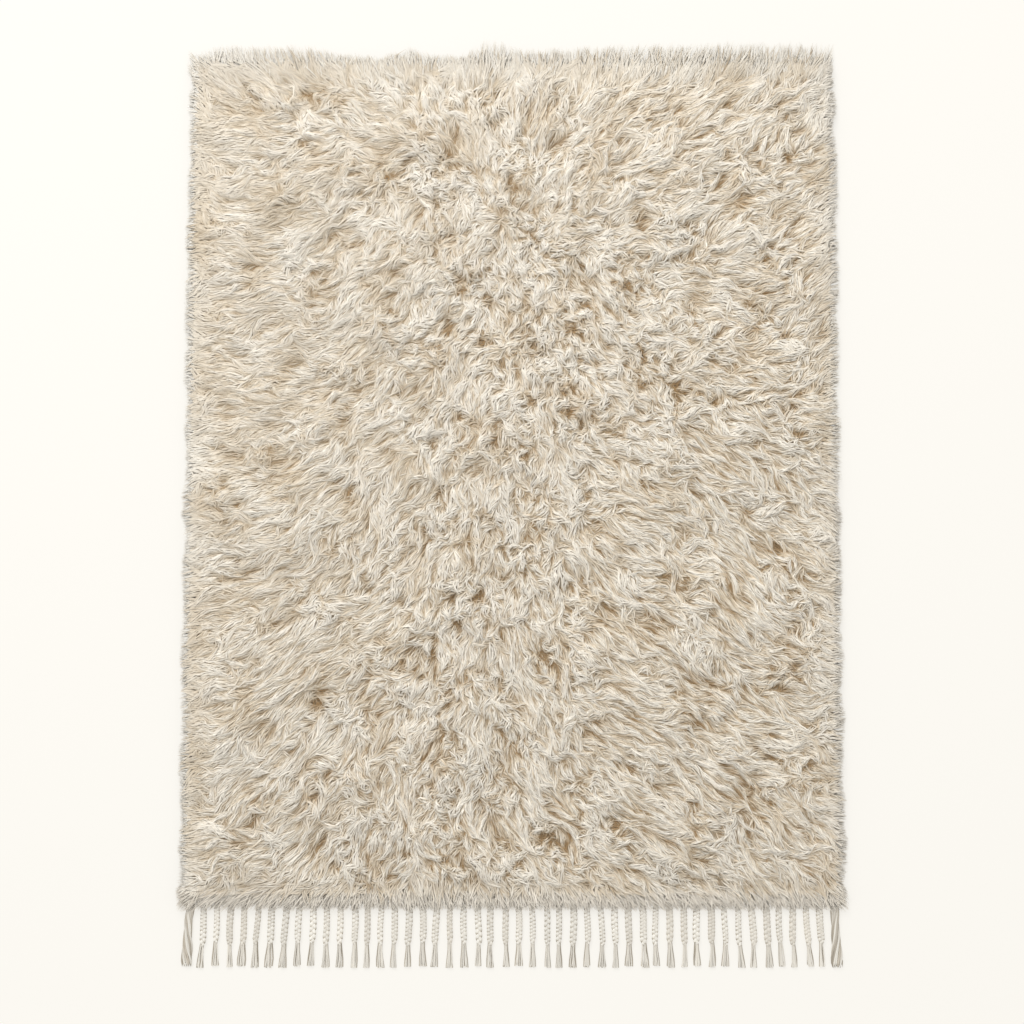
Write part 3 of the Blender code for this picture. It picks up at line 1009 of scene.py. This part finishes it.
def corner_strands(cords, chance):
    """The thick tassel at each front corner: a loosely twisted rope of yarns."""
    points, widths, shade, tone = [], [], [], []
    along = np.linspace(0.0, 1.0, 14)
    for cord in cords:
        x, y = cord_point(cord, along)
        for yarn in range(CORNER_YARNS):
            ring = math.sqrt((yarn + 0.5) / CORNER_YARNS)
            turn = yarn * 2.4 + 4.4 * along * (1 if cord["root"] > 0 else -1)
            loose = 1.10 - 0.20 * smoothstep(0.0, 0.30, along) + 0.45 * smoothstep(0.40, 1.0, along)
            wave = 0.0006 * np.sin(math.tau * (2.5 * along + chance.uniform(0, 1)))
            side = CORNER_WIDE * ring * loose * np.cos(turn) + wave
            lift = CORNER_TALL * ring * np.sin(turn)
            stop = 1 - abs(chance.normal(0, 0.010))
            z = np.maximum(CORNER_MIDDLE + lift - 0.0015 * along, CORNER_YARN * YARN_HALF)
            points.append(np.stack([x + side, FRINGE_ROOT + (y - FRINGE_ROOT) * stop, z], 1))
            widths.append(CORNER_YARN * chance.uniform(0.8, 1.15) * end_taper(len(along)))
            # Painted light and shade: yarns lighter on top of the rope, darker below, and where the
            # yarns part, every other one lighter and the rest darker
            parted = smoothstep(0.15, 0.40, along) * (0.17 if yarn % 2 else -0.17)
            shade.append(0.46 + 0.24 * lift / CORNER_TALL + parted)
            tone.append(0.40 + chance.normal(0, 0.20))
    return strand_set(points, widths, shade, tone, chance)


def heading_faces(columns, sides):
    """Triangles of a closed tube."""
    faces = []
    for start in range(0, columns * sides, sides):
        for corner in range(sides):
            here, after = start + corner, start + (corner + 1) % sides
            faces += [(here, here + sides, after + sides), (here, after + sides, after)]
    last = columns * sides
    for corner in range(1, sides - 1):
        faces += [(0, corner, corner + 1), (last, last + corner + 1, last + corner)]
    return np.array(faces)


def heading_strip(material):
    """The woven rows that hold the roots of the cords."""
    half = FRINGE_HIGH.x - HEADING_INSET
    turn = np.linspace(0, math.tau, HEADING_SIDES + 1)[:-1]
    x = np.linspace(-half, half, HEADING_COLUMNS + 1)
    y = FRINGE_HIGH.y - HEADING_MIDDLE + HEADING_WIDE * np.cos(turn)
    z = np.maximum(HEADING_TALL + HEADING_TALL * np.sin(turn), FLOOR_GAP)
    verts = np.stack([np.repeat(x, len(y)), np.tile(y, len(x)), np.tile(z, len(x))], 1)
    faces = heading_faces(HEADING_COLUMNS, HEADING_SIDES)
    tone = 0.5 + 0.2 * np.sin(np.arange(len(verts)) * 1.7)
    shade = np.full(len(verts), 0.45)
    piece = tri_piece("fringe_heading", verts, faces, material, tone, shade)
    return dress(piece, "plaited_fringe")


def fringe_pieces(material):
    """All pieces of the fringe."""
    chance = np.random.default_rng(CORD_SEED)
    cords = cord_lines()
    plaited = [cord for cord in cords if not cord["corner"]]
    corners = [cord for cord in cords if cord["corner"]]
    sets = [
        ("fringe_plaits", plait_strands(plaited, chance), 6),
        ("fringe_tufts", tuft_strands(plaited, chance), 5),
        ("corner_tassels", corner_strands(corners, chance), 6),
    ]
    made = [heading_strip(material)]
    for name, strands, sides in sets:
        part = np.arange(len(strands["points"]))
        piece = strand_piece(name, strands, part, sides, CORD_THICK, material)
        made.append(dress(piece, "plaited_fringe"))
    return made


def set_inputs(node, values):
    """Sets inputs of a node by name."""
    for name, value in values.items():
        node.inputs[name].default_value = value


def new_material(name):
    """A node material, with its nodes, its links and its shader."""
    material = bpy.data.materials.new(name)
    material.use_nodes = True
    nodes = material.node_tree.nodes
    return material, nodes, material.node_tree.links, nodes["Principled BSDF"]


def wool_material(name, wool):
    """Wool whose colour goes by shade, from hollow to tip, and by each strand's tone."""
    material, nodes, links, shader = new_material(name)
    place = nodes.new("ShaderNodeUVMap")
    place.uv_map = "OFBake"
    wool_colour(nodes, links, shader, place, wool)
    wool_fibres(nodes, links, shader, place)
    set_inputs(shader, {"Specular IOR Level": 0.25, "Sheen Weight": 0.25, "Sheen Roughness": 0.5})
    return material


def wool_colour(nodes, links, shader, place, wool):
    """Colour from the shade, made brighter or darker by the tone."""
    hollow, middle, tip, dark, light = wool
    parts = nodes.new("ShaderNodeSeparateXYZ")
    links.new(place.outputs["UV"], parts.inputs["Vector"])
    ramp = nodes.new("ShaderNodeValToRGB")
    first, last = ramp.color_ramp.elements
    first.position, first.color = 0.05, (*hollow, 1)
    last.position, last.color = 0.90, (*tip, 1)
    ramp.color_ramp.elements.new(0.45).color = (*middle, 1)
    links.new(parts.outputs["Y"], ramp.inputs["Fac"])
    span = nodes.new("ShaderNodeMapRange")
    set_inputs(span, {"To Min": dark, "To Max": light})
    links.new(parts.outputs["X"], span.inputs["Value"])
    shade = nodes.new("ShaderNodeVectorMath")
    shade.operation = "SCALE"
    links.new(ramp.outputs["Color"], shade.inputs[0])
    links.new(span.outputs["Result"], shade.inputs["Scale"])
    links.new(shade.outputs["Vector"], shader.inputs["Base Color"])


def wool_fibres(nodes, links, shader, place):
    """Fine fibres along the strands, as bump and as roughness."""
    stretch = nodes.new("ShaderNodeVectorMath")
    stretch.operation = "MULTIPLY"
    stretch.inputs[1].default_value = FIBRE_SCALE
    links.new(place.outputs["UV"], stretch.inputs[0])
    fibres = nodes.new("ShaderNodeTexNoise")
    set_inputs(fibres, {"Scale": 1, "Detail": 3})
    links.new(stretch.outputs["Vector"], fibres.inputs["Vector"])
    bump = nodes.new("ShaderNodeBump")
    bump.inputs["Distance"].default_value = 0.00015
    links.new(fibres.outputs["Fac"], bump.inputs["Height"])
    links.new(bump.outputs["Normal"], shader.inputs["Normal"])
    dull = nodes.new("ShaderNodeMapRange")
    set_inputs(dull, {"To Min": 0.74, "To Max": 0.94})
    links.new(fibres.outputs["Fac"], dull.inputs["Value"])
    links.new(dull.outputs["Result"], shader.inputs["Roughness"])


def weave_material():
    """Undyed plain weave of the ground."""
    material, nodes, links, shader = new_material("ground_weave")
    place = nodes.new("ShaderNodeTexCoord")
    waves = []
    for direction in ("X", "Y"):
        wave = nodes.new("ShaderNodeTexWave")
        wave.bands_direction = direction
        set_inputs(wave, {"Scale": 60, "Distortion": 0.6})
        links.new(place.outputs["Object"], wave.inputs["Vector"])
        waves.append(wave)
    both = nodes.new("ShaderNodeMath")
    both.operation = "MULTIPLY"
    links.new(waves[0].outputs["Fac"], both.inputs[0])
    links.new(waves[1].outputs["Fac"], both.inputs[1])
    ramp = nodes.new("ShaderNodeValToRGB")
    ramp.color_ramp.elements[0].color = (0.42, 0.34, 0.24, 1)
    ramp.color_ramp.elements[1].color = (0.70, 0.63, 0.52, 1)
    links.new(both.outputs["Value"], ramp.inputs["Fac"])
    links.new(ramp.outputs["Color"], shader.inputs["Base Color"])
    bump = nodes.new("ShaderNodeBump")
    bump.inputs["Distance"].default_value = 0.001
    links.new(both.outputs["Value"], bump.inputs["Height"])
    links.new(bump.outputs["Normal"], shader.inputs["Normal"])
    shader.inputs["Roughness"].default_value = 0.9
    return material


def studio_floor():
    """The pale floor, which glows a little as in a bright studio."""
    mesh = bpy.data.meshes.new("floor")
    size = 12.0
    corners = [(-size, -size, 0), (size, -size, 0), (size, size, 0), (-size, size, 0)]
    mesh.from_pydata(corners, [], [(0, 1, 2, 3)])
    floor = linked("floor", mesh)
    material, _, _, shader = new_material("floor_paint")
    paint = {"Base Color": (0.25, 0.244, 0.233, 1), "Roughness": 1.0, "Specular IOR Level": 0.0}
    glow = {"Emission Color": (1.0, 0.974, 0.913, 1), "Emission Strength": 0.712}
    set_inputs(shader, {**paint, **glow})
    mesh.materials.append(material)


def studio_light():
    """Even light from all around, and a broad lamp from behind and the left."""
    world = bpy.data.worlds.new("studio")
    bpy.context.scene.world = world
    world.use_nodes = True
    air = {"Color": (1.0, 0.99, 0.97, 1), "Strength": 0.78}
    set_inputs(world.node_tree.nodes["Background"], air)
    key = bpy.data.lights.new("key", "AREA")
    key.shape = "DISK"
    key.size = 3.0
    key.energy = 180
    lamp = linked("key", key)
    lamp.location = (-1.6, 3.9, 3.9)
    lamp.rotation_euler = (-lamp.location).to_track_quat("-Z", "Y").to_euler()


def camera():
    """The camera, above the rug and a little in front of it."""
    data = bpy.data.cameras.new("camera")
    data.lens = 50
    data.sensor_width = 36
    eye = linked("camera", data)
    tilt = math.radians(3.4)
    distance = 2.995
    aim = Vector((0, -0.0216, 0.0))
    eye.location = aim + Vector((0, -math.sin(tilt), math.cos(tilt))) * distance
    eye.rotation_euler = (tilt, 0, 0)
    bpy.context.scene.camera = eye


def main():
    """The studio and all pieces."""
    bpy.context.scene.view_settings.view_transform = "Standard"
    camera()
    studio_floor()
    studio_light()
    wools = {name: wool_material(name, wool) for name, wool in WOOLS.items()}
    pile = pile_pieces(wools["pile_wool"], wools["rim_wool"])
    fringe = fringe_pieces(wools["fringe_wool"])
    ground = woven_ground(weave_material())


main()
